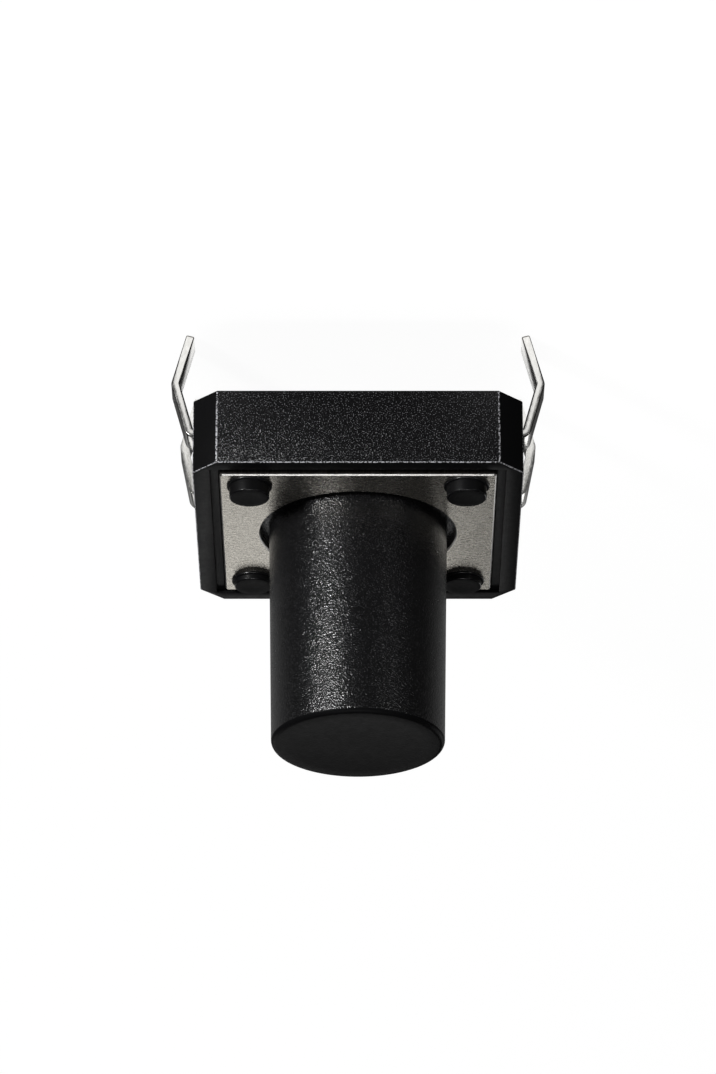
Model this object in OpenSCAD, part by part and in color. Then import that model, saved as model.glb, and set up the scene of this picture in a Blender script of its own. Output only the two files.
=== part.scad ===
// Tactile push button switch for a printed circuit board, 12 mm square.
// The board's face is the plane z = 0, the button points up along +Z, and the
// four kinked legs go down through the board on the -X and +X sides.

/* [Housing] */
// Width of the square housing, across the flats
body_w = 12; // [11.2:0.1:16]
// Height of the housing above the board
body_h = 2.9; // [2.4:0.05:4.5]
// Corner chamfer of the housing, measured along each side
corner_cut = 0.88; // [0.3:0.02:1.1]
// Width of the flat rim round the top
rim_w = 0.63; // [0.4:0.01:0.75]
// Depth of the shallow step inside the rim
step_depth = 0.15; // [0.05:0.01:0.2]
// Width of the ledge between the step's edge and the cover plate
ledge_w = 0.335; // [0.2:0.005:0.5]
// Thickness of the plastic that covers the strips under the cavity
floor_skin = 0.15; // [0.1:0.01:0.3]

/* [Cover plate] */
// Thickness of the cover plate
plate_t = 0.3; // [0.2:0.01:0.4]
// Radius of the plate's blanked corners
plate_corner_r = 0.12; // [0.05:0.01:0.3]
// How far the plate's top stands above the housing's rim
plate_proud = 0.05; // [0:0.01:0.1]
// Play all round the plate in its pocket
plate_play = 0.04; // [0.02:0.01:0.08]

/* [Stakes] */
// Distance from a stake's middle to the plate's -X or +X edge
stake_inset_x = 1.085; // [0.9:0.005:1.2]
// Distance from a stake's middle to the plate's -Y or +Y edge
stake_inset_y = 0.895; // [0.85:0.005:1.2]
// Diameter of a stake where it passes through the plate
stake_d = 1.2; // [1:0.05:1.3]
// Play round a stake in its hole
stake_play = 0.04; // [0.02:0.01:0.08]
// Diameter of the formed head that holds the plate down
stake_head_d = 1.46; // [1.4:0.02:1.6]
// Height of the formed heads above the plate, on the -Y side
stake_head_h = 0.51; // [0.42:0.01:0.6]
// How much lower the forming tool pressed the heads on the +Y side
far_heads_lower = 0.24; // [0:0.01:0.26]
// Radius of the head's rounded edge
stake_head_r = 0.06; // [0.02:0.01:0.07]
// Diameter of the thin skirt that was squeezed out under a head
stake_skirt_d = 1.66; // [1.62:0.01:1.7]
// Height of that skirt
stake_skirt_h = 0.07; // [0.04:0.01:0.08]

/* [Button] */
// Height of the button's end face above the board
button_top = 11.45; // [4.3:0.05:20]
// Diameter of the button where it leaves the plate
button_d = 6.6; // [5:0.02:6.8]
// Draft of the button, taken off its diameter between the plate and the end face
button_draft = 0.26; // [0:0.02:0.5]
// Radius of the rounded edge of the end face
button_edge_r = 0.2; // [0.1:0.01:0.6]
// Gap all round the button in the plate's hole
button_gap = 0.32; // [0.1:0.01:0.4]
// How far the flange reaches under the plate, all round the hole
flange_lip = 0.33; // [0.2:0.01:0.5]
// Running clearance between the flange and the cavity wall, on the radius
flange_clearance = 0.05; // [0.03:0.01:0.1]
// Room left under the skirt when the button is pressed home
skirt_room = 0.26; // [0.1:0.01:0.3]
// Wall of the skirt under the flange
skirt_wall = 0.6; // [0.4:0.05:0.8]
// Height of the hollow inside the skirt
hollow_h = 0.45; // [0.3:0.05:0.6]
// Diameter of the nub that pushes the dome
nub_d = 1.8; // [1.2:0.05:2.4]
// Width of the two lugs that keep the button from turning
key_w = 1.2; // [0.8:0.05:1.6]
// How far a lug stands out of the flange
key_out = 0.55; // [0.3:0.05:0.6]
// Height of a lug
key_h = 0.8; // [0.4:0.05:0.9]
// Play round a lug in its slot
key_play = 0.06; // [0.04:0.01:0.1]

/* [Snap dome] */
// Room between the dome's rim and the cavity wall
dome_room = 0.4; // [0.1:0.05:0.6]
// Thickness of the dome's spring steel
dome_t = 0.08; // [0.05:0.01:0.1]
// Travel of the button until the dome meets the centre contact
travel = 0.3; // [0.2:0.01:0.35]
// Gap left at the end of the travel and between pieces that only touch
touch_gap = 0.02; // [0.01:0.01:0.03]

/* [Lead frames] */
// Thickness of the lead frames' brass strip
strip_t = 0.32; // [0.25:0.01:0.35]
// Width of a leg and of its strip
strip_w = 1.2; // [0.8:0.05:1.3]
// Height of the strips' underside inside the housing
strip_z = 0.15; // [0.12:0.01:0.2]
// Distance between the two frames' legs along Y
leg_pitch = 5; // [4:0.1:6]
// Inner radius of every bend
bend_r = 0.08; // [0.05:0.01:0.15]
// Outward lean of the legs on the outer contact's frame, in degrees
outer_frame_splay = 15.5; // [8:0.1:20]
// Outward lean of the legs on the centre contact's frame, in degrees
centre_frame_splay = 11.2; // [8:0.1:20]
// How much shorter the legs of the centre contact's frame are
centre_frame_shorter = 0.17; // [0:0.01:0.3]
// Inward lean of the legs below the kink, in degrees
toe_in = 15; // [5:0.5:20]
// Depth of the kink below the board's face
kink_drop = 1.75; // [1.4:0.05:2.5]
// Depth of the leg tips below the board's face
tip_drop = 3.78; // [3:0.02:5]
// Diameter of the raised contact under the dome's middle
centre_contact_d = 1.5; // [1:0.1:1.8]
// Diameter of the raised contacts under the dome's rim
rim_contact_d = 1; // [0.6:0.1:1.1]
// Diameter of the holes that held the strips in the mould
locating_hole_d = 0.8; // [0.5:0.05:1]
// Depth of the relief under each leg, into the housing
exit_relief = 0.25; // [0.1:0.05:0.4]

/* [Hidden] */
$fn = 96;
// Overlap that keeps cuts clear of the faces they open
eps = 0.01;

// Lead frames and the cavity floor over them
strip_top = strip_z + strip_t;
floor_z = strip_top + floor_skin;

// Cover plate in its pocket
step_w = body_w - 2 * rim_w;
plate_w = step_w - 2 * ledge_w;
plate_top = body_h + plate_proud;
plate_z = plate_top - plate_t;
pocket_w = plate_w + 2 * plate_play;
plate_hole_d = button_d + 2 * button_gap;
stake_x = plate_w / 2 - stake_inset_x;
stake_y = plate_w / 2 - stake_inset_y;
stakes = [for (x = [-1, 1], y = [-1, 1]) [x * stake_x, y * stake_y]];
far_head_h = stake_head_h - far_heads_lower;

// Button: the flange's top lies just under the plate, and the cavity guides it
button_end_d = button_d - button_draft;
flange_top = plate_z - touch_gap;
flange_bottom = floor_z + travel + skirt_room;
flange_r = plate_hole_d / 2 + flange_lip;
cavity_d = 2 * (flange_r + flange_clearance);
hollow_r = flange_r - skirt_wall;
key_r = flange_r + key_out;
slot_bottom = flange_top - key_h - travel - key_play;

// Snap dome: a cap of a hollow sphere, cut square to its sheet at the rim.
// Its underside rises just over the travel, from the rim to the middle.
dome_d = cavity_d - 2 * dome_room;
dome_rise = travel + touch_gap;
dome_inner_r = (pow(dome_d / 2, 2) + pow(dome_rise, 2)) / (2 * dome_rise);
dome_half_angle = asin(dome_d / 2 / dome_inner_r);
dome_centre_z = floor_z - dome_inner_r * cos(dome_half_angle);
nub_bottom = floor_z + dome_rise + dome_t + touch_gap;

// Where the dome's rim crosses the outer contact's strip
rim_contact_x = sqrt(pow(dome_d / 2, 2) - pow(leg_pitch / 2, 2));

// Square of side w with its corners cut off
module chamfered_square(w, cut) {
    h = w / 2;
    k = h - cut;
    polygon([[h, -k], [h, k], [k, h], [-k, h], [-h, k], [-h, -k], [-k, -h], [k, -h]]);
}

// Square of side w with round corners
module rounded_square(w, r) {
    for (a = [0, 90]) {
        rotate(a) square([w, w - 2 * r], center = true);
    }
    for (x = [-1, 1], y = [-1, 1]) {
        translate([x * (w / 2 - r), y * (w / 2 - r)]) circle(r);
    }
}

// Prism on a centred square footprint, from z0 to z1
module square_block(w, z0, z1) {
    translate([-w / 2, -w / 2, z0]) cube([w, w, z1 - z0]);
}

// One stake: a neck through the plate, a thin skirt squeezed out on the plate,
// and a formed head of height h with a rounded edge
module stake(h) {
    translate([0, 0, plate_z - eps]) cylinder(d = stake_d, h = plate_t + 2 * eps);
    translate([0, 0, plate_top]) rotate_extrude() {
        square([stake_skirt_d / 2, stake_skirt_h]);
        square([stake_head_d / 2, h - stake_head_r]);
        square([stake_head_d / 2 - stake_head_r, h]);
        translate([stake_head_d / 2 - stake_head_r, h - stake_head_r]) {
            intersection() {
                circle(stake_head_r, $fn = 32);
                square(stake_head_r);
            }
        }
    }
}

// Room for the button's lugs on either side of the cavity
module key_slots() {
    w = key_w + 2 * key_play;
    r = key_r + key_play;
    translate([-r, -w / 2, slot_bottom]) cube([2 * r, w, body_h - slot_bottom]);
}

// Relief in the housing's lower edge under each leg, and the moulding's
// locating holes that reach the strips from below
module strip_cutouts() {
    for (x = [-1, 1], y = [-1, 1]) {
        translate([x * body_w / 2 - exit_relief, y * leg_pitch / 2 - strip_w / 2, -eps]) {
            cube([2 * exit_relief, strip_w, strip_z + 2 * eps]);
        }
        translate([x * cavity_d / 2, y * leg_pitch / 2, -eps]) {
            cylinder(d = locating_hole_d, h = strip_z + 2 * eps, $fn = 32);
        }
    }
}

// Moulded housing, formed round both lead frames, with the staked posts
module base() {
    color("#1b1b1d") difference() {
        union() {
            difference() {
                linear_extrude(body_h) chamfered_square(body_w, corner_cut);
                square_block(step_w, body_h - step_depth, body_h + eps);
                square_block(pocket_w, plate_z, body_h);
                translate([0, 0, floor_z]) cylinder(d = cavity_d, h = body_h);
                key_slots();
            }
            for (p = stakes) {
                translate(p) stake(p.y < 0 ? stake_head_h : far_head_h);
            }
        }
        strip_cutouts();
        outer_contact_frame();
        centre_contact_frame();
    }
}

// Stainless cover, blanked from sheet, that keeps the button in
module cover_plate() {
    color("#b8b5ad") translate([0, 0, plate_z]) linear_extrude(plate_t) difference() {
        rounded_square(plate_w, plate_corner_r);
        circle(d = plate_hole_d);
        for (p = stakes) {
            translate(p) circle(d = stake_d + 2 * stake_play, $fn = 48);
        }
    }
}

// Outline of half the button's shaft, from the flange up to the rounded end
module shaft_outline() {
    end_r = button_end_d / 2;
    polygon([
        [0, flange_bottom + hollow_h],
        [button_d / 2, flange_bottom + hollow_h],
        [button_d / 2, plate_top],
        [end_r, button_top - button_edge_r],
        [end_r - button_edge_r, button_top - button_edge_r],
        [end_r - button_edge_r, button_top],
        [0, button_top]
    ]);
    translate([end_r - button_edge_r, button_top - button_edge_r]) intersection() {
        circle(button_edge_r, $fn = 48);
        square(button_edge_r);
    }
}

// Moulded button: drafted shaft, keyed flange with its skirt, and the nub
module push_button() {
    color("#242427") union() {
        rotate_extrude() {
            shaft_outline();
            translate([0, flange_bottom + hollow_h]) {
                square([flange_r, flange_top - flange_bottom - hollow_h]);
            }
            translate([hollow_r, flange_bottom]) square([skirt_wall, hollow_h + eps]);
            translate([0, nub_bottom]) square([nub_d / 2, flange_top - nub_bottom]);
        }
        for (side = [0, 180]) {
            rotate(side) translate([hollow_r, -key_w / 2, flange_top - key_h]) {
                cube([key_r - hollow_r, key_w, key_h]);
            }
        }
    }
}

// Spring steel dome, standing on its rim over the contacts
module snap_dome() {
    color("#c9c9cc") translate([0, 0, dome_centre_z]) rotate_extrude() {
        intersection() {
            difference() {
                circle(dome_inner_r + dome_t, $fn = 360);
                circle(dome_inner_r, $fn = 360);
            }
            polygon([
                [0, 0],
                2 * dome_inner_r * [sin(dome_half_angle), cos(dome_half_angle)],
                [0, 2 * dome_inner_r]
            ]);
        }
    }
}

// Flat stretch of strip along +X, standing on z = 0
module strip_run(length) {
    translate([0, -strip_w / 2, 0]) cube([length, strip_w, strip_t]);
}

// Bend of the strip towards its underside
module strip_bend(angle) {
    translate([0, 0, -bend_r]) rotate([0, angle - 90, 0]) rotate([90, 0, 0]) {
        rotate_extrude(angle = angle) translate([bend_r, -strip_w / 2]) square([strip_t, strip_w]);
    }
}

// Puts its children where the strip goes on after a bend
module past_bend(angle) {
    translate([bend_r * sin(angle), 0, bend_r * (cos(angle) - 1)]) rotate([0, angle, 0]) children();
}

// Kinked leg: out of the wall, down and outward to the kink, then back in.
// The kink catches under the board once the leg has gone through its hole.
module leg(splay, shorter) {
    kink_z = kink_drop - shorter;
    tip_z = tip_drop - shorter;
    turn_down = 90 - splay;
    turn_in = splay + toe_in;
    corner = bend_r * tan(turn_in / 2);
    top_z = strip_z - bend_r * (1 - cos(turn_down));
    upper = (top_z + kink_z) / cos(splay) - corner;
    lower = (tip_z - kink_z - strip_t * sin(toe_in)) / cos(toe_in) - corner;
    strip_bend(turn_down);
    past_bend(turn_down) {
        strip_run(upper);
        translate([upper, 0, 0]) {
            strip_bend(turn_in);
            past_bend(turn_in) strip_run(lower);
        }
    }
}

// Strip across the housing with a leg at each end, side is the sign of its Y
module frame_strip(side, splay, shorter) {
    translate([-body_w / 2, side * leg_pitch / 2, strip_z]) strip_run(body_w);
    for (turn = [0, 180]) {
        rotate(turn) translate([body_w / 2, (turn == 0 ? side : -side) * leg_pitch / 2, strip_z]) {
            leg(splay, shorter);
        }
    }
}

// Raised contact that stands level with the cavity floor
module contact(d) {
    translate([0, 0, strip_z]) cylinder(d = d, h = floor_z - strip_z, $fn = 48);
}

// Tinned brass frame that touches the dome's rim
module outer_contact_frame() {
    color("#d3d2cc") union() {
        frame_strip(-1, outer_frame_splay, 0);
        for (x = [-1, 1]) {
            translate([x * rim_contact_x, -leg_pitch / 2, 0]) contact(rim_contact_d);
        }
    }
}

// Tinned brass frame whose tongue reaches the middle of the cavity
module centre_contact_frame() {
    color("#d3d2cc") union() {
        frame_strip(1, centre_frame_splay, centre_frame_shorter);
        translate([-strip_w / 2, 0, strip_z]) cube([strip_w, leg_pitch / 2, strip_t]);
        contact(centre_contact_d);
    }
}

base();
cover_plate();
push_button();
snap_dome();
outer_contact_frame();
centre_contact_frame();
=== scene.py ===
# %% [markdown]
# # A tactile push button switch
#
# The object is a small switch for a circuit board: a black moulded housing,
# a steel cover held by four heat-formed stakes, a long round button, a snap
# dome hidden under it, and two tinned brass lead frames whose ends are the
# four kinked legs. Its engineering model is already there as a frame. This
# lesson makes its pieces one by one, each in the place that the frame gives.

# %% Load the frame
import math

import bmesh
import bpy
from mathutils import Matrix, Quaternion, Vector


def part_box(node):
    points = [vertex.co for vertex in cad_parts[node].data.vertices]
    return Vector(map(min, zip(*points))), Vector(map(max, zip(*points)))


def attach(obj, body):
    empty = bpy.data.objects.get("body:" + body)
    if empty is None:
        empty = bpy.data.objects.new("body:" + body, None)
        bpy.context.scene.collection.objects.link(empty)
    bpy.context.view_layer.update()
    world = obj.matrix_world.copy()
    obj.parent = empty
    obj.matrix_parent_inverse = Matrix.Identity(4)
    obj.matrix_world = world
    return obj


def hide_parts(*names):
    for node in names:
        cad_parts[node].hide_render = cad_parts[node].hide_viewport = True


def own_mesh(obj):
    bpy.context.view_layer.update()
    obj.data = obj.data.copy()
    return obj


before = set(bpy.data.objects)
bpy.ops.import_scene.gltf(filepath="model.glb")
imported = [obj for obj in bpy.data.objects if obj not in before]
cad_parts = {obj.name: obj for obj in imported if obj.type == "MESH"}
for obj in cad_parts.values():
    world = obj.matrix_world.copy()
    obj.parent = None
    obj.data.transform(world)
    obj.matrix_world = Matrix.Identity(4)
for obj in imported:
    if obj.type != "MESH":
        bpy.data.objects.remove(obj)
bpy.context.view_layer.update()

print("frame holds", sorted(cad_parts))

# %% [markdown]
# ## The bench
#
# The finished pieces are measured in metres, but a wall 0.3 mm thick is 0.0003
# of a metre, and bevels and merges lose their way among numbers that small. So
# every piece is modelled a thousand times larger, one unit to the millimetre,
# and shrunk about the origin when it is done. The frame's boxes are read in
# millimetres for the same reason.

# %% Millimetres on the bench
MM = 0.001


def cad_corners(node):
    """Lowest and highest corner of a frame node, in millimetres."""
    low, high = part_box(node)
    return low / MM, high / MM


base_low, base_high = cad_corners("base")
plate_low, plate_high = cad_corners("cover_plate")
button_low, button_high = cad_corners("push_button")
dome_low, dome_high = cad_corners("snap_dome")
outer_low = cad_corners("outer_contact_frame")[0]
centre_high = cad_corners("centre_contact_frame")[1]
print("housing is", round(base_high.x - base_low.x, 2), "mm wide")

# %% [markdown]
# Almost every step below is "select some faces or edges, then run a tool on
# them". By hand you would click them. In a script they are found by where they
# are or which way they face, so the choice still holds if a size changes. Two
# places count as one when they are within two microns, and a face or an edge
# points along an axis when more than nine tenths of its direction does.

# %% Selecting by place and direction
near = 0.002
facing = 0.9


def work_on(piece):
    """Select one piece alone and make it active."""
    bpy.ops.object.select_all(action="DESELECT")
    piece.select_set(True)
    bpy.context.view_layer.objects.active = piece


def open_mesh(piece, kind="FACE"):
    """Start editing a piece with nothing selected."""
    work_on(piece)
    bpy.ops.object.mode_set(mode="EDIT")
    bpy.ops.mesh.select_mode(type=kind)
    bpy.ops.mesh.select_all(action="DESELECT")


def close_mesh():
    """Leave edit mode, which writes the edits to the piece."""
    bpy.ops.object.mode_set(mode="OBJECT")


def select_where(piece, kind, wanted):
    """Select the faces or edges for which wanted is true, and say how many."""
    mesh = bmesh.from_edit_mesh(piece.data)
    parts = getattr(mesh, kind)
    for part in parts:
        part.select_set(False)
    chosen = [part for part in parts if wanted(part)]
    for part in chosen:
        part.select_set(True)
    bmesh.update_edit_mesh(piece.data)
    return len(chosen)


def select_faces(piece, wanted):
    """Select the faces for which wanted(face) is true, and say how many."""
    return select_where(piece, "faces", wanted)


def select_edges(piece, wanted):
    """Select the edges for which wanted(edge) is true, and say how many."""
    return select_where(piece, "edges", wanted)


# %% [markdown]
# A modifier that stays live would have to be worked out again on every visit,
# and the next operator wouldn't see its result. So each one is applied as soon
# as it is set. A hollow is cut by a solid tool of its shape, and a lug or post
# is fused on, both with the exact Boolean solver, which leaves closed meshes.

# %% Modifiers, cutting and fusing
def apply_modifier(piece, kind, **settings):
    """Add one modifier, set it and apply it."""
    work_on(piece)
    modifier = piece.modifiers.new(kind.lower(), kind)
    for name, value in settings.items():
        setattr(modifier, name, value)
    bpy.ops.object.modifier_apply(modifier=modifier.name)


def cut(piece, tool):
    """Take the tool's volume out of the piece and throw the tool away."""
    apply_modifier(piece, "BOOLEAN", object=tool, operation="DIFFERENCE", solver="EXACT")
    bpy.data.objects.remove(tool)


def fuse(piece, other):
    """Add the other solid to the piece and throw the other away."""
    apply_modifier(piece, "BOOLEAN", object=other, operation="UNION", solver="EXACT")
    bpy.data.objects.remove(other)


# %% [markdown]
# Two starting solids are enough for nearly all of it: a block between two
# corners and a round bar between two heights. Both are primitives added at
# their true size and place, so nothing has to be moved into position later.

# %% Blocks and round bars
def block(name, low, high):
    """A box from corner low to corner high."""
    low, high = Vector(low), Vector(high)
    bpy.ops.object.select_all(action="DESELECT")
    bpy.ops.mesh.primitive_cube_add(size=1, location=(low + high) / 2, scale=high - low)
    bpy.ops.object.transform_apply(location=True, rotation=True, scale=True)
    bpy.context.object.name = name
    return bpy.context.object


def bar(name, radius, bottom, top, at=(0, 0), sides=96):
    """An upright round bar."""
    bpy.ops.object.select_all(action="DESELECT")
    bpy.ops.mesh.primitive_cylinder_add(
        vertices=sides, radius=radius, depth=top - bottom, location=(*at, (bottom + top) / 2)
    )
    bpy.ops.object.transform_apply(location=True, rotation=True, scale=True)
    bpy.context.object.name = name
    return bpy.context.object


# %% [markdown]
# A finished piece has no doubled points, and all its faces look outwards. It
# is shaded smooth where its faces meet at a small angle and sharp elsewhere,
# it is in metres with its origin at zero, it rides on its body, and the
# engineering solid that it stands for is hidden.

# %% Finishing a piece
weld = 0.0005


def finish_piece(piece, body, replaced, smooth_below=35):
    """Tidy the mesh, shrink it to metres and put it on its body."""
    open_mesh(piece, "VERT")
    bpy.ops.mesh.select_all(action="SELECT")
    bpy.ops.mesh.remove_doubles(threshold=weld)
    bpy.ops.mesh.dissolve_degenerate(threshold=weld)
    bpy.ops.mesh.normals_make_consistent(inside=False)
    close_mesh()
    work_on(piece)
    bpy.ops.object.shade_smooth_by_angle(angle=math.radians(smooth_below))
    piece.scale = (MM, MM, MM)
    bpy.ops.object.transform_apply(location=True, rotation=True, scale=True)
    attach(piece, body)
    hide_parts(replaced)
    low = [min(v.co[i] for v in piece.data.vertices) / MM for i in range(3)]
    high = [max(v.co[i] for v in piece.data.vertices) / MM for i in range(3)]
    print(piece.name, len(piece.data.polygons), "faces, from",
          [round(x, 2) for x in low], "to", [round(x, 2) for x in high], "mm")


# %% [markdown]
# ## The housing
#
# The housing is one black moulding: a square block with chamfered corners, a
# flat rim, a shallow step inside the rim, a pocket for the cover and a round
# cavity for the button. It could be built up from walls and floors, but the
# moulder's own order is easier to follow: start from the full block, round its
# edges while they are still simple, and take the hollows out afterwards.

# %% Housing: sizes
body_half = base_high.x
plate_proud = 0.05
body_top = plate_high.z - plate_proud
corner_cut = 0.88
rim_width = 0.63
step_depth = 0.15
ledge_width = 0.335
plate_play = 0.04
edge_round = 0.035
brink_round = edge_round * 0.7
step_half = body_half - rim_width
pocket_half = step_half - ledge_width + plate_play
print("housing is", round(body_top, 2), "mm high, pocket", round(2 * pocket_half, 3), "mm wide")

# %% Housing: block and chamfers
def upright(edge):
    """An edge that runs straight up."""
    a, b = (v.co for v in edge.verts)
    return abs((a - b).normalized().z) > facing


housing = block("housing_moulding", (-body_half, -body_half, 0), (body_half, body_half, body_top))
open_mesh(housing, "EDGE")
corners = select_edges(housing, upright)
bpy.ops.mesh.bevel(offset=corner_cut, segments=1, affect="EDGES")
close_mesh()
print(corners, "corners chamfered by", corner_cut, "mm")

# %% [markdown]
# A moulded edge is never sharp. Every outer edge gets a radius of a few
# hundredths of a millimetre: too small to see as a shape, but it is what
# catches the light and draws the outline of the part.

# %% Housing: soft outer edges
open_mesh(housing, "EDGE")
outline = select_edges(housing, lambda edge: True)
bpy.ops.mesh.bevel(offset=edge_round, segments=3, affect="EDGES")
close_mesh()
print(outline, "edges rounded")

# %% [markdown]
# The step and the pocket are square, while the block round them is an octagon,
# so an inset of the top face would come out with the wrong corners. Two square
# tools cut them instead, and run well past the housing so that no skin is left
# over them. Their own lower corners are left sharp, as in the mould.

# %% Housing: step and pocket for the cover
overrun = 1.0
tools_top = plate_high.z + overrun
cut(housing, block("step_tool", (-step_half, -step_half, body_top - step_depth),
                   (step_half, step_half, tools_top)))
cut(housing, block("pocket_tool", (-pocket_half, -pocket_half, plate_low.z),
                   (pocket_half, pocket_half, tools_top)))
print("step and pocket cut to", round(body_top - plate_low.z, 2), "mm deep")


# %% Housing: soft brinks
def on_square(point, half, z):
    """Whether a point lies on the outline of a centred square at height z."""
    x, y = abs(point.x), abs(point.y)
    return abs(point.z - z) < near and abs(max(x, y) - half) < near


def step_brink(edge):
    """Top edges of the step and of the pocket."""
    a, b = (v.co for v in edge.verts)
    level_part = min(abs(a.x - b.x), abs(a.y - b.y)) < near
    return level_part and any(on_square(a, half, z) and on_square(b, half, z)
                              for half, z in ((step_half, body_top),
                                              (pocket_half, body_top - step_depth)))


open_mesh(housing, "EDGE")
brinks = select_edges(housing, step_brink)
bpy.ops.mesh.bevel(offset=brink_round, segments=2, affect="EDGES")
close_mesh()
print(brinks, "brink edges softened")

# %% [markdown]
# Below the cover are the round cavity that guides the button's flange and two
# slots for the lugs that keep the button from turning. They hardly show, but
# an exploded view or a cutaway would need them, so they are cut as well.

# %% Housing: cavity and lug slots
floor_z = dome_low.z
cavity_radius = 4.0
lug_play = 0.06
lug_width = 1.2
slot_bottom = 1.47
slot_reach = button_high.x + lug_play
slot_half = lug_width / 2 + lug_play
cut(housing, bar("cavity_tool", cavity_radius, floor_z, tools_top, sides=128))
cut(housing, block("lug_tool", (-slot_reach, -slot_half, slot_bottom),
                   (slot_reach, slot_half, tools_top)))
print("cavity is", round(2 * cavity_radius, 2), "mm across")

# %% [markdown]
# The housing is moulded round the two lead frames, so it has the shape of
# their strips inside it: tunnels to the side walls, wells for the raised
# contacts, a small relief under each leg, and the four holes through which
# pins held the strips while the plastic flowed. Each tool bites a hundredth
# of a millimetre into the hollow it joins, so no film is left between them.

# %% Housing: sizes of the strips and contacts
strip_width = 1.2
strip_half = strip_width / 2
strip_low = 0.15
strip_thick = 0.32
strip_top = strip_low + strip_thick
rim_contact_radius = 0.5
centre_contact_radius = 0.75
relief_depth = 0.25
locating_radius = 0.4
rows = {"outer": outer_low.y + strip_half, "centre": centre_high.y - strip_half}
dome_radius = 3.6
rim_contact_x = math.sqrt(dome_radius ** 2 - rows["outer"] ** 2)
print("rim contacts at", round(rim_contact_x, 2), "mm from the middle")

# %% Housing: room for the lead frames
bite = 0.01
for row in rows.values():
    cut(housing, block("tunnel_tool", (-body_half - overrun, row - strip_half, strip_low),
                       (body_half + overrun, row + strip_half, strip_top)))
    for side in (-1, 1):
        x_in, x_out = sorted((side * (body_half - relief_depth), side * (body_half + overrun)))
        cut(housing, block("relief_tool", (x_in, row - strip_half, -overrun),
                           (x_out, row + strip_half, strip_low + bite)))
        cut(housing, bar("locating_tool", locating_radius, -overrun, strip_low + bite,
                         at=(side * cavity_radius, row), sides=32))
for side in (-1, 1):
    cut(housing, bar("well_tool", rim_contact_radius, strip_low + bite, floor_z + bite,
                     at=(side * rim_contact_x, rows["outer"]), sides=48))
cut(housing, block("tongue_tool", (-strip_half, 0, strip_low),
                   (strip_half, rows["centre"], strip_top)))
cut(housing, bar("well_tool", centre_contact_radius, strip_low, floor_z + bite, sides=48))
print("housing now has", len(housing.data.polygons), "faces")

# %% [markdown]
# ## The stakes
#
# Four posts of the same moulding pass through the cover. A hot tool presses
# their ends into flat heads with rounded shoulders, and squeezes a thin skirt
# of plastic out under each head, which holds the cover down. The tool went
# deeper on the +Y side, so the heads are lower there. A stake is a short bar
# with a bevelled top, very slightly sunk where the tool pressed, fused to a
# flat disc and to the post under it. One is modelled for each side, and a copy
# of each stands in the other corner.

# %% Stakes: sizes
stake_radius = 0.6
head_radius = 0.73
head_round = 0.06
head_sink = 0.012
print_margin = head_radius * 0.3
print_slope = head_radius * 0.15
skirt_radius = 0.83
skirt_height = 0.07
post_root = 0.1
post_overlap = 0.05
far_heads_lower = 0.24
stake_from_side = 1.085
stake_from_front = 0.895
stake_x = plate_high.x - stake_from_side
stake_y = plate_high.y - stake_from_front
stake_places = [(x, y) for x in (-stake_x, stake_x) for y in (-stake_y, stake_y)]
print("stakes stand", round(2 * stake_x, 2), "by", round(2 * stake_y, 2), "mm apart")


# %% Housing: heat-formed stakes
def faces_up(face):
    """A level face that looks up."""
    return face.normal.z > 0.9999


def round_top(piece, z, width, segments):
    """Bevel the top edge of a bar that ends at height z."""
    open_mesh(piece, "EDGE")
    select_edges(piece, lambda edge: all(abs(v.co.z - z) < near for v in edge.verts))
    bpy.ops.mesh.bevel(offset=width, segments=segments, affect="EDGES")
    close_mesh()


def stake_at(place, top):
    """A whole stake whose head ends at height top."""
    head = bar("stake_head", head_radius, plate_high.z, top, at=place, sides=64)
    round_top(head, top, head_round, 5)
    open_mesh(head)
    select_faces(head, faces_up)
    bpy.ops.mesh.inset(thickness=print_margin, depth=0)
    bpy.ops.mesh.inset(thickness=print_slope, depth=-head_sink)
    close_mesh()
    skirt_top = plate_high.z + skirt_height
    skirt = bar("stake_skirt", skirt_radius, plate_high.z, skirt_top, at=place, sides=64)
    round_top(skirt, skirt_top, skirt_height / 2, 3)
    fuse(head, skirt)
    fuse(head, bar("stake_post", stake_radius, plate_low.z - post_root,
                   plate_high.z + post_overlap, at=place, sides=48))
    return head


def copy_of(piece, move):
    """A copy with its own mesh, moved and with its place in the mesh again."""
    work_on(piece)
    bpy.ops.object.duplicate(linked=False)
    bpy.ops.transform.translate(value=move)
    bpy.ops.object.transform_apply(location=True, rotation=True, scale=True)
    return bpy.context.object


stakes = [stake_at((-stake_x, -stake_y), base_high.z),
          stake_at((-stake_x, stake_y), base_high.z - far_heads_lower)]
stakes += [copy_of(stake, (2 * stake_x, 0, 0)) for stake in stakes]
for stake in stakes:
    fuse(housing, stake)
print(len(stakes), "heads, up to", round(base_high.z - plate_high.z, 2), "mm over the cover")
finish_piece(housing, "housing", "base")

# %% [markdown]
# ## The cover
#
# The cover is blanked from thin stainless strip: a square with small corner
# radii, one large hole and four small ones. Blanking rolls the top edge of
# every outline over a little, and that rolled edge is the bright line round
# the plate and round its hole, so it is modelled as a real radius, a little
# flatter than a quarter circle. The lower edges only lose their sharpness. The
# cover is shaded smooth below 14 degrees only, so that its holes look round
# while the shading of the roll doesn't creep onto the flat top.

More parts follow.
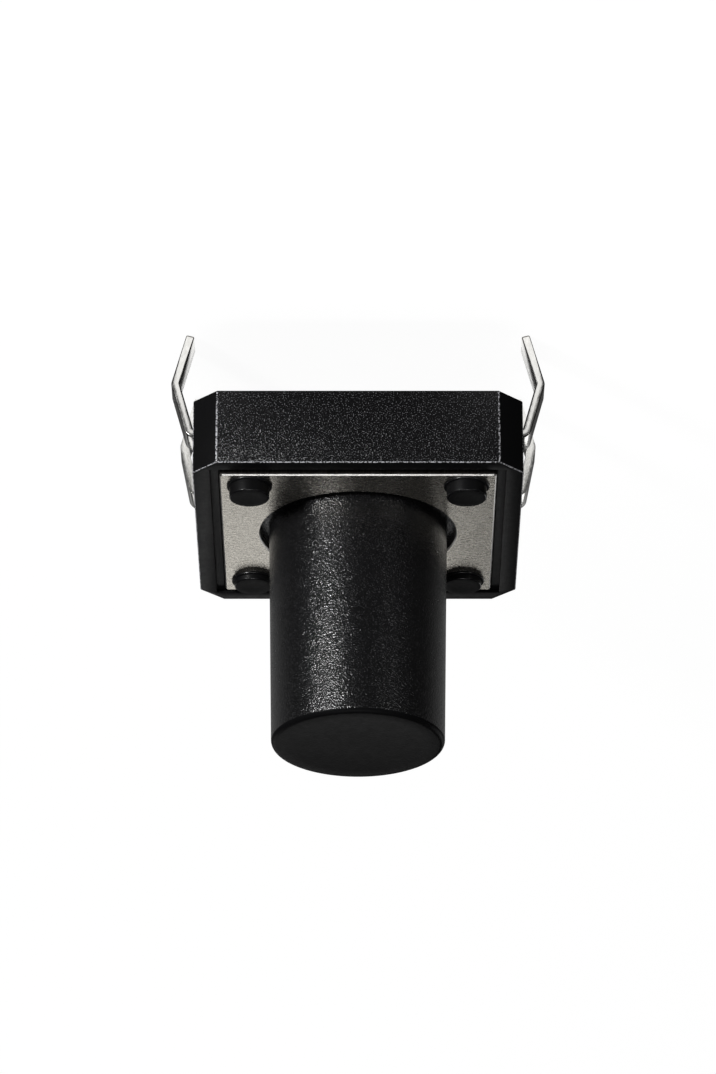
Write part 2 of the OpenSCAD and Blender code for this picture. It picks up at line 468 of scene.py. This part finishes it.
# %% Steel cover: outline and holes
plate_corner = 0.12
hole_radius = 3.62
stake_play = 0.04
cover_plate = block("steel_cover", plate_low, plate_high)
open_mesh(cover_plate, "EDGE")
select_edges(cover_plate, upright)
bpy.ops.mesh.bevel(offset=plate_corner, segments=5, affect="EDGES")
close_mesh()
tools_bottom = plate_low.z - overrun
cut(cover_plate, bar("hole_tool", hole_radius, tools_bottom, tools_top, sides=160))
for place in stake_places:
    cut(cover_plate, bar("stake_hole_tool", stake_radius + stake_play, tools_bottom,
                         tools_top, at=place, sides=48))
print("button hole is", 2 * hole_radius, "mm across")


# %% Steel cover: rolled edges
def brink_at(z):
    """A test for edges at height z between a flat face and an upright one."""
    def test(edge):
        if any(abs(v.co.z - z) > near for v in edge.verts) or len(edge.link_faces) != 2:
            return False
        flat = [abs(face.normal.z) > facing for face in edge.link_faces]
        return flat[0] != flat[1]
    return test


rolled_edge = 0.055
rolled_profile = 0.32
broken_edge = rolled_edge / 3
open_mesh(cover_plate, "EDGE")
rolled = select_edges(cover_plate, brink_at(plate_high.z))
bpy.ops.mesh.bevel(offset=rolled_edge, segments=3, profile=rolled_profile, affect="EDGES")
close_mesh()
open_mesh(cover_plate, "EDGE")
select_edges(cover_plate, brink_at(plate_low.z))
bpy.ops.mesh.bevel(offset=broken_edge, segments=1, affect="EDGES")
close_mesh()
print(rolled, "edges rolled over")
finish_piece(cover_plate, "housing", "cover_plate", smooth_below=14)

# %% [markdown]
# ## The button
#
# One moulding again: a long shaft with a trace of draft and a rounded end,
# and under the cover a flange with a skirt, a nub that pushes the dome, and
# two lugs. It is turned in shape, so it starts as a bar and grows downwards
# by extruding and scaling its lower face, as a turned profile would be read.
# Thick nylon shrinks as it cools, so the end is very slightly dished, and that
# is why it shades from one side to the other. A row of insets makes the dish,
# each a little lower than the last and less steep.

# %% Button: shaft and rounded end
shaft_radius = 3.3
end_radius = 3.17
end_round = 0.2
end_dish = 0.08
dish_rings = 6
ring_width = (end_radius - end_round) / (dish_rings + 0.5)


def level(z):
    """A test for level faces at height z."""
    return lambda face: (abs(face.normal.z) > facing
                         and abs(face.calc_center_median().z - z) < near)


def widen(scale, z):
    """Scale what is selected sideways about the object's axis, from height z."""
    bpy.ops.transform.resize(value=(scale, scale, 1), center_override=(0, 0, z))


button = bar("button_moulding", shaft_radius, plate_high.z, button_high.z, sides=160)
open_mesh(button)
select_faces(button, level(button_high.z))
widen(end_radius / shaft_radius, button_high.z)
bpy.ops.mesh.select_mode(type="EDGE")
select_edges(button, lambda edge: all(v.co.z > button_high.z - near for v in edge.verts))
bpy.ops.mesh.bevel(offset=end_round, segments=8, affect="EDGES")
select_faces(button, faces_up)
for ring in range(dish_rings):
    fall = end_dish * (2 * (dish_rings - ring) - 1) / dish_rings ** 2
    bpy.ops.mesh.inset(thickness=ring_width, depth=-fall)
close_mesh()
print("shaft stands", round(button_high.z - plate_high.z, 2), "mm over the cover")


# %% Button: flange, skirt and nub
flange_radius = button_high.y
flange_play = 0.02
flange_top = plate_low.z - flange_play
flange_low = 1.18
skirt_wall = 0.6
hollow_height = 0.45
nub_radius = 0.9


def raise_face(rise):
    """Extrude what is selected straight up, or down if rise is negative."""
    bpy.ops.mesh.extrude_region_move(TRANSFORM_OT_translate={"value": (0, 0, rise)})


open_mesh(button)
select_faces(button, level(plate_high.z))
raise_face(flange_top - plate_high.z)
raise_face(0)
widen(flange_radius / shaft_radius, flange_top)
raise_face(flange_low - flange_top)
bpy.ops.mesh.inset(thickness=skirt_wall, depth=0)
raise_face(hollow_height)
bpy.ops.mesh.inset(thickness=flange_radius - skirt_wall - nub_radius, depth=0)
raise_face(button_low.z - flange_low - hollow_height)
close_mesh()
print("flange is", round(2 * flange_radius, 2), "mm across")

# %% Button: lugs
lug_height = 0.8
fuse(button, block("lugs", (-button_high.x, -lug_width / 2, flange_top - lug_height),
                   (button_high.x, lug_width / 2, flange_top)))
print("lugs reach", round(button_high.x, 2), "mm from the middle")
finish_piece(button, "button", "push_button")

# %% [markdown]
# ## The snap dome
#
# A disc of spring steel pressed into a very flat dome. It is drawn from its
# rim inwards, ring by ring, each ring at the height that a sphere of the right
# radius gives it. The sheet's thickness comes last, from a Solidify modifier.

# %% Snap dome
dome_thick = 0.08
dome_rise = dome_high.z - floor_z - dome_thick
sphere_radius = (dome_radius ** 2 + dome_rise ** 2) / (2 * dome_rise)
ring_count = 12


def dome_height(radius):
    """Height of the dome's underside at a distance from its axis."""
    return floor_z + dome_rise - sphere_radius + math.sqrt(sphere_radius ** 2 - radius ** 2)


bpy.ops.object.select_all(action="DESELECT")
bpy.ops.mesh.primitive_circle_add(vertices=96, radius=dome_radius, location=(0, 0, floor_z))
bpy.ops.object.transform_apply(location=True, rotation=True, scale=True)
dome = bpy.context.object
dome.name = "spring_dome"
open_mesh(dome, "EDGE")
bpy.ops.mesh.select_all(action="SELECT")
radius = dome_radius
for ring in range(1, ring_count):
    inner = dome_radius * (1 - ring / ring_count)
    raise_face(dome_height(inner) - dome_height(radius))
    widen(inner / radius, 0)
    radius = inner
raise_face(dome_height(0) - dome_height(radius))
bpy.ops.mesh.merge(type="CENTER")
bpy.ops.mesh.select_all(action="SELECT")
bpy.ops.mesh.normals_make_consistent(inside=False)
close_mesh()
top_normal = max(dome.data.polygons, key=lambda face: face.center.z).normal.z
apply_modifier(dome, "SOLIDIFY", thickness=dome_thick, offset=1 if top_normal > 0 else -1,
               use_even_offset=True)
print("dome rises", round(dome_rise, 3), "mm on a sphere of", round(sphere_radius, 1), "mm")
finish_piece(dome, "housing", "snap_dome")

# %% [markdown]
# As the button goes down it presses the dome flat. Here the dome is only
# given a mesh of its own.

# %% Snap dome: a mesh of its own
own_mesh(dome)

# %% [markdown]
# ## The lead frames
#
# Each lead frame is one stamping: a flat strip through the housing with a leg
# at each end. A leg comes out of the wall, bends down and a little outwards,
# and at the kink turns back in, so that it snaps through its hole in the
# board. The strip is a bar of rectangular section, so a leg is drawn as the
# press tool forms it: extrude the end face for each straight stretch, and spin
# it round the inside of each bend. Half a frame is drawn and then mirrored.
# Angles are in degrees, and count how far the strip has turned down from
# level. The kink and the tip are given by their depth below the board's face.

# %% Lead frames: running on and bending
bend_radius = 0.08
bend_steps = 8


def strip_direction(down):
    """Unit vector along the strip once it has turned down by this many degrees."""
    turn = math.radians(down)
    return Vector((math.cos(turn), 0, -math.sin(turn)))


def underside(down):
    """Unit vector out of the strip's underside at that angle."""
    return strip_direction(down + 90)


def run_on(length, down):
    """Extrude the selected end face along the strip."""
    step = strip_direction(down) * length
    bpy.ops.mesh.extrude_region_move(TRANSFORM_OT_translate={"value": step})


def bend(corner, down, turn):
    """Spin the selected end face; corner is where its underside edge lies."""
    centre = corner + underside(down) * bend_radius
    bpy.ops.mesh.spin(steps=bend_steps, angle=math.radians(turn), center=centre,
                      axis=(0, -1, 0), dupli=False)
    return centre - underside(down + turn) * bend_radius


# %% Lead frames: one half
toe_in = 15
kink_depth = 1.75
tip_depth = -outer_low.z


def half_frame(name, row, splay, shorter):
    """Strip from the middle of the housing to the tip of its +X leg."""
    half = block(name, (0, row - strip_half, strip_low), (body_half, row + strip_half, strip_top))
    open_mesh(half)
    select_faces(half, lambda face: face.normal.x > facing)
    turn_down = 90 - splay
    turn_in = splay + toe_in
    kink_slack = bend_radius * math.tan(math.radians(turn_in / 2))
    corner = bend(Vector((body_half, row, strip_low)), 0, turn_down)
    kink = kink_depth - shorter
    tip = tip_depth - shorter
    upper = (corner.z + kink) / math.cos(math.radians(splay)) - kink_slack
    run_on(upper, turn_down)
    corner = bend(corner + strip_direction(turn_down) * upper, turn_down, turn_in)
    lean = math.radians(toe_in)
    lower = (tip - kink - strip_thick * math.sin(lean)) / math.cos(lean) - kink_slack
    run_on(lower, turn_down + turn_in)
    close_mesh()
    print(name, "leg runs", round(upper, 2), "mm to the kink and", round(lower, 2), "mm beyond")
    return half


# %% [markdown]
# The Mirror modifier gives the other half, once the face where the two meet is
# deleted. Then the contacts are raised on the strip, and every sharp edge is
# rounded as stamping rolls it. The two frames differ in how far their legs
# splay and reach, and in where their contacts are.

# %% Lead frames: the other half and the contacts
die_roll = 0.065
sharp_from = 50


def whole_frame(name, row, splay, shorter, contacts, node):
    """Mirror the half, raise the contacts on it and round every edge."""
    piece = half_frame(name, row, splay, shorter)
    open_mesh(piece)
    select_faces(piece, lambda face: (face.normal.x < -facing
                                      and face.calc_center_median().x < near))
    bpy.ops.mesh.delete(type="FACE")
    close_mesh()
    apply_modifier(piece, "MIRROR", merge_threshold=0.001)
    for at, contact_radius in contacts:
        if at[1] != row:
            fuse(piece, block("tongue", (-strip_half, at[1], strip_low),
                              (strip_half, row, strip_top)))
        fuse(piece, bar("contact", contact_radius, strip_low, floor_z, at=at, sides=48))
    open_mesh(piece, "VERT")
    bpy.ops.mesh.select_all(action="SELECT")
    bpy.ops.mesh.remove_doubles(threshold=weld)
    bpy.ops.mesh.normals_make_consistent(inside=False)
    close_mesh()
    apply_modifier(piece, "BEVEL", width=die_roll, segments=4, limit_method="ANGLE",
                   angle_limit=math.radians(sharp_from), use_clamp_overlap=True)
    finish_piece(piece, "housing", node)
    return piece


# %% Lead frames: the two of them
outer_splay = 15.5
centre_splay = 11.2
centre_shorter = 0.17
rim_contacts = [((side * rim_contact_x, rows["outer"]), rim_contact_radius) for side in (-1, 1)]
middle_contact = [((0, 0), centre_contact_radius)]
outer_frame = whole_frame("outer_lead_frame", rows["outer"], outer_splay, 0,
                          rim_contacts, "outer_contact_frame")
centre_frame = whole_frame("centre_lead_frame", rows["centre"], centre_splay, centre_shorter,
                           middle_contact, "centre_contact_frame")

# %% [markdown]
# ## Finishes
#
# Every finish is made of nodes that read the piece's own coordinates, so the
# grain stays where it is when the piece moves or the camera does. The pieces
# are in metres again, so a noise with ten features to the millimetre has a
# scale of ten thousand. The helpers below take counts per millimetre and
# depths in millimetres, and do that sum once.

# %% Node helpers: coordinates and noise
def new_finish(name):
    """A new material, its node tree and its shader."""
    finish = bpy.data.materials.new(name)
    finish.use_nodes = True
    tree = finish.node_tree
    shader = next(node for node in tree.nodes if node.type == "BSDF_PRINCIPLED")
    return finish, tree, shader


def coordinates(tree, stretch=(1, 1, 1)):
    """The piece's own coordinates, stretched along its axes."""
    place = tree.nodes.new("ShaderNodeTexCoord")
    mapping = tree.nodes.new("ShaderNodeMapping")
    mapping.inputs["Scale"].default_value = stretch
    tree.links.new(place.outputs["Object"], mapping.inputs["Vector"])
    return mapping.outputs["Vector"]


def noise(tree, place, per_mm, detail=2.0, rough=0.5):
    """Soft random values between 0 and 1, with per_mm features to the millimetre."""
    node = tree.nodes.new("ShaderNodeTexNoise")
    node.inputs["Scale"].default_value = per_mm / MM
    node.inputs["Detail"].default_value = detail
    node.inputs["Roughness"].default_value = rough
    tree.links.new(place, node.inputs["Vector"])
    return node.outputs["Fac"]


# %% Node helpers: ranges, colours and relief
def spread(tree, value, low, high, from_low=0.3, from_high=0.7):
    """Map the useful range of a noise to low..high."""
    node = tree.nodes.new("ShaderNodeMapRange")
    node.inputs["From Min"].default_value = from_low
    node.inputs["From Max"].default_value = from_high
    node.inputs["To Min"].default_value = low
    node.inputs["To Max"].default_value = high
    tree.links.new(value, node.inputs["Value"])
    return node.outputs["Result"]


def blend(tree, share, dark, light):
    """A colour between dark, which may be another node's colour, and light."""
    node = tree.nodes.new("ShaderNodeMix")
    node.data_type = "RGBA"
    if isinstance(dark, tuple):
        node.inputs["A"].default_value = (*dark, 1)
    else:
        tree.links.new(dark, node.inputs["A"])
    node.inputs["B"].default_value = (*light, 1)
    tree.links.new(share, node.inputs["Factor"])
    return node.outputs["Result"]


def relief(tree, height, depth):
    """A bump whose full height is depth millimetres."""
    node = tree.nodes.new("ShaderNodeBump")
    node.inputs["Strength"].default_value = 1.0
    node.inputs["Distance"].default_value = depth * MM
    tree.links.new(height, node.inputs["Height"])
    return node.outputs["Normal"]


# %% [markdown]
# ## Black plastic
#
# One black nylon with several surfaces. The mould was polished on the
# chamfers, the rim and the button's end, and sparked on the side walls and
# the shaft, which leaves a fine sharp grain. In soft light that grain is a
# crowd of small facets: most show nothing and a few flash, so it needs steep
# relief and a low roughness. A high roughness alone would only give a grey
# haze. The tops of the grain are also painted pale, as painted glints that
# stand in for the flashes. The polished faces are the other way round, with
# almost no relief and a broad, dull sheen. The housing's outer edges carry
# denser pale flecks, a painted highlight along each edge, and the hot tool
# left the stakes' shoulders glossy and their printed tops matt.

# %% Moulded plastic
nylon_dark = (0.0028, 0.0028, 0.003)
nylon_light = (0.0042, 0.0042, 0.0046)
painted_glint_fade = 0.15
painted_glint_blue = 1.06


def moulded_plastic(name, sheen, gloss, per_mm, depth, painted_glint=0.0, from_top=0.57, ior=1.5):
    """Black plastic with a grain of per_mm facets to the millimetre, depth deep.

    Where the grain rises over from_top it is painted pale, as painted glints on its tops.
    """
    finish, tree, shader = new_finish(name)
    place = coordinates(tree)
    cloud = noise(tree, place, per_mm=0.7, detail=3)
    scuffs = noise(tree, place, per_mm=4, detail=4, rough=0.7)
    grain = noise(tree, place, per_mm, detail=0)
    black = blend(tree, cloud, nylon_dark, nylon_light)
    if painted_glint:
        # The grain's tops are painted pale: painted glints.
        tops = spread(tree, grain, 0, 1, from_top, from_top + painted_glint_fade)
        black = blend(tree, tops, black, (painted_glint, painted_glint, painted_glint * painted_glint_blue))
    tree.links.new(black, shader.inputs["Base Color"])
    tree.links.new(spread(tree, scuffs, *gloss), shader.inputs["Roughness"])
    tree.links.new(relief(tree, grain, depth), shader.inputs["Normal"])
    shader.inputs["Specular IOR Level"].default_value = sheen
    shader.inputs["IOR"].default_value = ior
    return finish


# %% The black finishes
smooth_black = moulded_plastic("housing_smooth", sheen=0.1, gloss=(0.40, 0.50),
                               per_mm=7, depth=0.001)
sparked_black = moulded_plastic("housing_sparked", sheen=0.35, gloss=(0.20, 0.28),
                                per_mm=22, depth=0.021, painted_glint=0.085, from_top=0.61)
# The edges' dense pale flecks are a painted highlight along each edge.
edge_glint_black = moulded_plastic("housing_edges", sheen=0.4, gloss=(0.25, 0.33),
                               per_mm=16, depth=0.015, painted_glint=0.4, from_top=0.42)
staked_black = moulded_plastic("housing_staked", sheen=0.3, gloss=(0.18, 0.26),
                               per_mm=5, depth=0.003)
pressed_black = moulded_plastic("housing_pressed", sheen=0.08, gloss=(0.50, 0.60),
                                per_mm=9, depth=0.003)
button_black = moulded_plastic("button_sparked", sheen=0.42, gloss=(0.20, 0.28),
                               per_mm=20, depth=0.0175, painted_glint=0.014)
button_smooth = moulded_plastic("button_end", sheen=0.055, gloss=(0.36, 0.44),
                                per_mm=14, depth=0.0035, ior=1.34)
housing_blacks = (smooth_black, sparked_black, edge_glint_black, staked_black, pressed_black)
print("housing takes", [finish.name for finish in housing_blacks])
print("button takes", button_black.name, button_smooth.name)

# %% [markdown]
# ## Steel, brass and tin
#
# Rolled strip carries fine lines in the direction it was rolled. Stretching
# the noise along X draws them, as a faint relief that blurs reflections
# across the lines and leaves them sharper along the lines. The rolled edge of
# the cover is burnished, and its blanked edge, which the punch tore, is
# duller and nearly black. The legs were tinned after stamping, so they are
# bright, with a slight mottle, but for their corners and their tips. The
# corners are duller and painted dark, a painted dark reflection that draws an
# outline round each leg. The tips were cut from the strip last and are bare
# brass, painted nearly black as well: a painted contact shadow where the legs
# stand on the floor.

# %% Rolled and plated metal
def bright_metal(name, dark, light, gloss, stretch, per_mm, depth):
    """Metal with a grain that its stretch draws out, in colour, gloss and relief."""
    finish, tree, shader = new_finish(name)
    along = coordinates(tree, stretch)
    streak = noise(tree, along, per_mm, detail=3, rough=0.6)
    tree.links.new(blend(tree, spread(tree, streak, 0, 1), dark, light),
                   shader.inputs["Base Color"])
    tree.links.new(spread(tree, streak, *gloss), shader.inputs["Roughness"])
    tree.links.new(relief(tree, streak, depth), shader.inputs["Normal"])
    shader.inputs["Metallic"].default_value = 1.0
    return finish


# %% The steels
rolled_steel = bright_metal("rolled_steel", dark=(0.60, 0.565, 0.50), light=(0.95, 0.905, 0.81),
                            gloss=(0.22, 0.30), stretch=(0.2, 1, 1), per_mm=20, depth=0.009)
burnished = bright_metal("burnished_roll", dark=(0.36, 0.355, 0.34), light=(0.50, 0.49, 0.475),
                         gloss=(0.26, 0.34), stretch=(1, 1, 1), per_mm=12, depth=0.001)
blanked_edge = bright_metal("blanked_edge", dark=(0.02, 0.018, 0.016), light=(0.07, 0.065, 0.06),
                            gloss=(0.45, 0.60), stretch=(1, 1, 0.2), per_mm=20, depth=0.004)
spring_steel = bright_metal("spring_steel", dark=(0.55, 0.55, 0.55), light=(0.65, 0.65, 0.65),
                            gloss=(0.18, 0.26), stretch=(0.2, 1, 1), per_mm=12, depth=0.0006)
print("cover and dome take", rolled_steel.name, burnished.name, blanked_edge.name, spring_steel.name)

# %% The finishes of the legs
bright_tin = bright_metal("bright_tin", dark=(0.76, 0.75, 0.72), light=(0.97, 0.96, 0.93),
                          gloss=(0.12, 0.26), stretch=(1, 1, 0.5), per_mm=9, depth=0.003)
# Dark leg corners: a painted dark reflection outlining each leg.
tin_painted_dark_edges = bright_metal("tin_painted_dark_edges", dark=(0.05, 0.049, 0.047), light=(0.16, 0.157, 0.15),
                           gloss=(0.30, 0.40), stretch=(1, 1, 1), per_mm=9, depth=0.003)
# Dark leg tips: bare brass painted nearly black, a painted contact shadow.
brass_painted_tip_shadow = bright_metal("brass_painted_tip_shadow", dark=(0.05, 0.045, 0.04), light=(0.16, 0.145, 0.12),
                             gloss=(0.35, 0.50), stretch=(1, 1, 1), per_mm=16, depth=0.003)
print("lead frames take", bright_tin.name, tin_painted_dark_edges.name, brass_painted_tip_shadow.name)

# %% [markdown]
# A piece gets all its finishes first, and then each face chooses one by its
# place and direction, as it would by hand in edit mode. The limits below are
# heights and distances in millimetres, or how much of a face's normal points
# one way, where 1 is all of it.

# %% Dressing by place and direction
def dress(piece, *finishes):
    """Give a piece its finishes; the first one covers it."""
    piece.data.materials.clear()
    for finish in finishes:
        piece.data.materials.append(finish)


def refinish(piece, finish, wanted):
    """Give the faces for which wanted(face) is true another of the piece's finishes."""
    number = piece.data.materials.find(finish.name)
    chosen = [face for face in piece.data.polygons if wanted(face)]
    for face in chosen:
        face.material_index = number
    print(len(chosen), "faces of", piece.name, "take", finish.name)


# %% Housing: walls and edges
wall_depth = 0.02
flat_from = 0.99
edges_outside = step_half + 0.05
edges_above = strip_top + 0.1


def from_middle(face):
    """How far out a face lies along X or Y, whichever is more, in millimetres."""
    return max(abs(face.center.x), abs(face.center.y)) / MM


def on_wall(face):
    """A face of the housing's four side walls."""
    return (from_middle(face) > body_half - wall_depth
            and max(abs(face.normal.x), abs(face.normal.y)) > flat_from)


def on_rounded_edge(face):
    """A rounded outer edge of the housing: it leans between the flat directions."""
    x, y, z = (abs(part) for part in face.normal)
    return (max(x, y, z, (x + y) / math.sqrt(2)) < flat_from
            and from_middle(face) > edges_outside and face.center.z / MM > edges_above)


dress(housing, *housing_blacks)
refinish(housing, sparked_black, on_wall)
refinish(housing, edge_glint_black, on_rounded_edge)


# %% Housing: stakes
shoulder_lean = 0.25
print_lean = 0.95


def on_stake(face):
    """The top or the rounded shoulder of a stake."""
    return face.center.z / MM > plate_high.z + near and face.normal.z > shoulder_lean


def on_stake_top(face):
    """The part of a stake's top that the hot tool printed."""
    return on_stake(face) and face.normal.z > print_lean


refinish(housing, staked_black, on_stake)
refinish(housing, pressed_black, on_stake_top)


# %% Cover, button and dome
roll_from = 0.3
roll_to = 0.97
end_lean = 0.2


def on_roll(face):
    """The rolled-over edge of the cover's outer face."""
    return roll_from < face.normal.z < roll_to


def on_blank(face):
    """An edge of the cover as the punch left it."""
    return abs(face.normal.z) < roll_from


def on_end(face):
    """A face of the button's end or of its rounded edge."""
    return face.center.z / MM > button_high.z - end_round and face.normal.z > end_lean


dress(cover_plate, rolled_steel, burnished, blanked_edge)
refinish(cover_plate, burnished, on_roll)
refinish(cover_plate, blanked_edge, on_blank)
dress(button, button_black, button_smooth)
refinish(button, button_smooth, on_end)
dress(dome, spring_steel)


# %% Lead frames: corners and tips
corner_from = 0.2
corner_to = 0.97
sheared_height = 0.13


def on_leg_corner(face):
    """A rounded corner of the strip, between its broad and its narrow faces."""
    return corner_from < abs(face.normal.y) < corner_to


def on_tip(face):
    """The sheared end of a leg."""
    shorter = 0 if face.center.y / MM < 0 else centre_shorter
    return face.center.z / MM < outer_low.z + shorter + sheared_height


for lead_frame in (outer_frame, centre_frame):
    dress(lead_frame, bright_tin, tin_painted_dark_edges, brass_painted_tip_shadow)
    refinish(lead_frame, tin_painted_dark_edges, on_leg_corner)
    refinish(lead_frame, brass_painted_tip_shadow, on_tip)

# %% [markdown]
# ## Floor and surroundings
#
# The switch stands on its leg tips on a plain pale floor. The Light Path node
# tells a shader what kind of ray has arrived, so the floor and the air above
# it can be white where they are looked at, show as much of that white in gloss
# as is wanted, and still be dark to the rays that light the object. The white
# is no lamp that way, and costs no shadow and no contrast.

# %% What a ray sees of the white
def calculate(tree, operation, *values):
    """The result of one Math node; each value is a number or a socket."""
    node = tree.nodes.new("ShaderNodeMath")
    node.operation = operation
    for socket, value in zip(node.inputs, values):
        if isinstance(value, (int, float)):
            socket.default_value = value
        else:
            tree.links.new(value, socket)
    return node.outputs[0]


def seen_white(tree, share_in_gloss):
    """1 for a camera ray, share_in_gloss for a reflected or refracted ray, else 0."""
    path = tree.nodes.new("ShaderNodeLightPath")
    bounced = calculate(tree, "MAXIMUM", path.outputs["Is Glossy Ray"],
                        path.outputs["Is Transmission Ray"])
    return calculate(tree, "MULTIPLY_ADD", bounced, share_in_gloss,
                     path.outputs["Is Camera Ray"])


# %% Floor
floor_size = 1.2
floor_gap = 0.01
floor_height = outer_low.z - floor_gap
bpy.ops.object.select_all(action="DESELECT")
bpy.ops.mesh.primitive_plane_add(size=floor_size, location=(0, 0, floor_height * MM))
floor = bpy.context.object
floor.name = "floor"
bpy.ops.object.transform_apply(location=True, rotation=True, scale=True)
print("floor lies at", round(floor_height, 2), "mm, the board's face at 0")

# %% [markdown]
# Bright metal looks like what it mirrors, so a studio lays a strip of white
# card beside it and leaves the table round the card dark: the metal gets a
# bright face inside a dark outline. Here the floor is its own card. Gloss
# sees a white strip of it under each row of legs, nothing of it elsewhere in
# front, and a little of it behind. The sizes are in metres, as the floor is,
# across and along the rows.

# %% Cards under the legs
card_middle = (0.0065, -0.0055)
card_half = (0.0011, 0.0080)
card_edge = 0.0004
behind_in_gloss = 0.2
behind_from = 0.006
behind_to = 0.02


def within(tree, value, middle, half):
    """1 where value is near middle, 0 where it is further than half, with a soft edge."""
    away = calculate(tree, "ABSOLUTE", calculate(tree, "SUBTRACT", value, middle))
    return spread(tree, away, 1, 0, half - card_edge, half)


def white_in_gloss(tree):
    """How much of the floor's white a reflection shows, from place to place."""
    place = tree.nodes.new("ShaderNodeTexCoord")
    split = tree.nodes.new("ShaderNodeSeparateXYZ")
    tree.links.new(place.outputs["Object"], split.inputs["Vector"])
    aside = calculate(tree, "ABSOLUTE", split.outputs["X"])
    on_card = calculate(tree, "MULTIPLY", within(tree, aside, card_middle[0], card_half[0]),
                        within(tree, split.outputs["Y"], card_middle[1], card_half[1]))
    behind = spread(tree, split.outputs["Y"], 0, behind_in_gloss, behind_from, behind_to)
    return calculate(tree, "ADD", on_card, behind)


print("each card is", [round(2 * half / MM, 1) for half in card_half], "mm")

# %% Pale paper
floor_albedo = 0.12
floor_white = 0.95
paper, tree, shader = new_finish("pale_paper")
shader.inputs["Base Color"].default_value = (floor_albedo, floor_albedo, floor_albedo, 1)
shader.inputs["Roughness"].default_value = 1.0
shader.inputs["Specular IOR Level"].default_value = 0.0
shader.inputs["Emission Color"].default_value = (1, 1, 1, 1)
glow = calculate(tree, "MULTIPLY", seen_white(tree, white_in_gloss(tree)), floor_white)
tree.links.new(glow, shader.inputs["Emission Strength"])
dress(floor, paper)
print("paper is", floor_albedo, "under the lamps and", floor_white, "by itself")

# %% [markdown]
# The air of the studio is white where it is looked at and nearly dark where it
# lights the part, a little less so on the side of the main lamp. Black plastic
# is only as black as the room that it mirrors, so the room has to be dark for
# the grain and the lamps' edges to show, and gloss gets none of the air's
# white.

# %% World
air_dark = 0.0025
air_bright = 0.008
air_in_gloss = 0.0
world = bpy.data.worlds.new("studio")
bpy.context.scene.world = world
world.use_nodes = True
tree = world.node_tree
background = next(node for node in tree.nodes if node.type == "BACKGROUND")
where = tree.nodes.new("ShaderNodeTexCoord")
split = tree.nodes.new("ShaderNodeSeparateXYZ")
tree.links.new(where.outputs["Generated"], split.inputs["Vector"])
grey = spread(tree, split.outputs["X"], air_dark, air_bright, from_low=-1, from_high=1)
mix = tree.nodes.new("ShaderNodeMix")
mix.data_type = "FLOAT"
tree.links.new(seen_white(tree, air_in_gloss), mix.inputs["Factor"])
tree.links.new(grey, mix.inputs["A"])
mix.inputs["B"].default_value = 1.0
background.inputs["Color"].default_value = (1, 1, 1, 1)
tree.links.new(mix.outputs["Result"], background.inputs["Strength"])
print("air from", air_dark, "to", air_bright)

# %% [markdown]
# ## Lamps
#
# Seven soft rectangles. A tall narrow strip low in front, to the +X side,
# draws the bright stripe down the round button and the flashes in the sparked
# grain. A broad panel behind lights the flat tops, which mirror it at a low
# angle. A high bar in front catches the rounded near edges. A weak fill
# opposite the strip, and broad dim ones behind and at the -X side, keep the
# shaded walls and the legs there from going black, and a large dim sky opens
# the shadows. Each lamp is placed by direction and distance from the housing,
# and sized by how much of the view from there it fills.

# %% Lamps
def softbox(name, azimuth, elevation, distance, width, height, radiance):
    """An area lamp facing the object; azimuth is measured from -Y towards +X."""
    turn = math.radians(azimuth)
    lift = math.radians(elevation)
    away = Vector((math.sin(turn) * math.cos(lift), -math.cos(turn) * math.cos(lift),
                   math.sin(lift)))
    lamp = bpy.data.lights.new(name, "AREA")
    lamp.shape = "RECTANGLE"
    lamp.size = width
    lamp.size_y = height
    lamp.energy = radiance * math.pi * width * height
    holder = bpy.data.objects.new(name, lamp)
    bpy.context.scene.collection.objects.link(holder)
    holder.location = away * distance
    holder.rotation_euler = away.to_track_quat("Z", "Y").to_euler()
    holder.visible_camera = False
    print(name, "fills", round(width * height / distance ** 2, 3), "steradian")


softbox("strip", azimuth=39, elevation=5, distance=0.20, width=0.028, height=0.055, radiance=110)
softbox("panel", azimuth=163, elevation=20, distance=0.13, width=0.09, height=0.04, radiance=1.08)
softbox("fill", azimuth=-43, elevation=8, distance=0.25, width=0.03, height=0.06, radiance=10)
softbox("back", azimuth=-142, elevation=16, distance=0.25, width=0.12, height=0.10, radiance=1.5)
softbox("side", azimuth=-92, elevation=24, distance=0.25, width=0.12, height=0.07, radiance=0.5)
softbox("edge", azimuth=5, elevation=64, distance=0.3, width=0.12, height=0.03, radiance=14)
softbox("sky", azimuth=0, elevation=75, distance=0.4, width=0.3, height=0.2, radiance=1)

# %% [markdown]
# ## Camera
#
# The camera looks down on the cover from in front, through a long lens, and
# it is turned upside down about its own axis, so the legs point up in the
# picture and the button hangs down.

# %% Camera
eye = Vector((0, -0.16544, 0.08022))
aim = Vector((0, 0.001177, 0.002523))
camera = bpy.data.cameras.new("camera")
camera.lens = 164.8
camera.sensor_width = 36
camera.clip_start = 0.01
camera.clip_end = 10
viewer = bpy.data.objects.new("camera", camera)
bpy.context.scene.collection.objects.link(viewer)
viewer.location = eye
upside_down = Quaternion((0, 0, 1), math.pi)
viewer.rotation_euler = ((aim - eye).to_track_quat("-Z", "Y") @ upside_down).to_euler()
bpy.context.scene.camera = viewer
bpy.context.scene.view_settings.view_transform = "Standard"
down = math.degrees(math.asin((eye - aim).normalized().z))
print("camera looks down by", round(down, 1), "degrees from", round(eye.length, 3), "m")
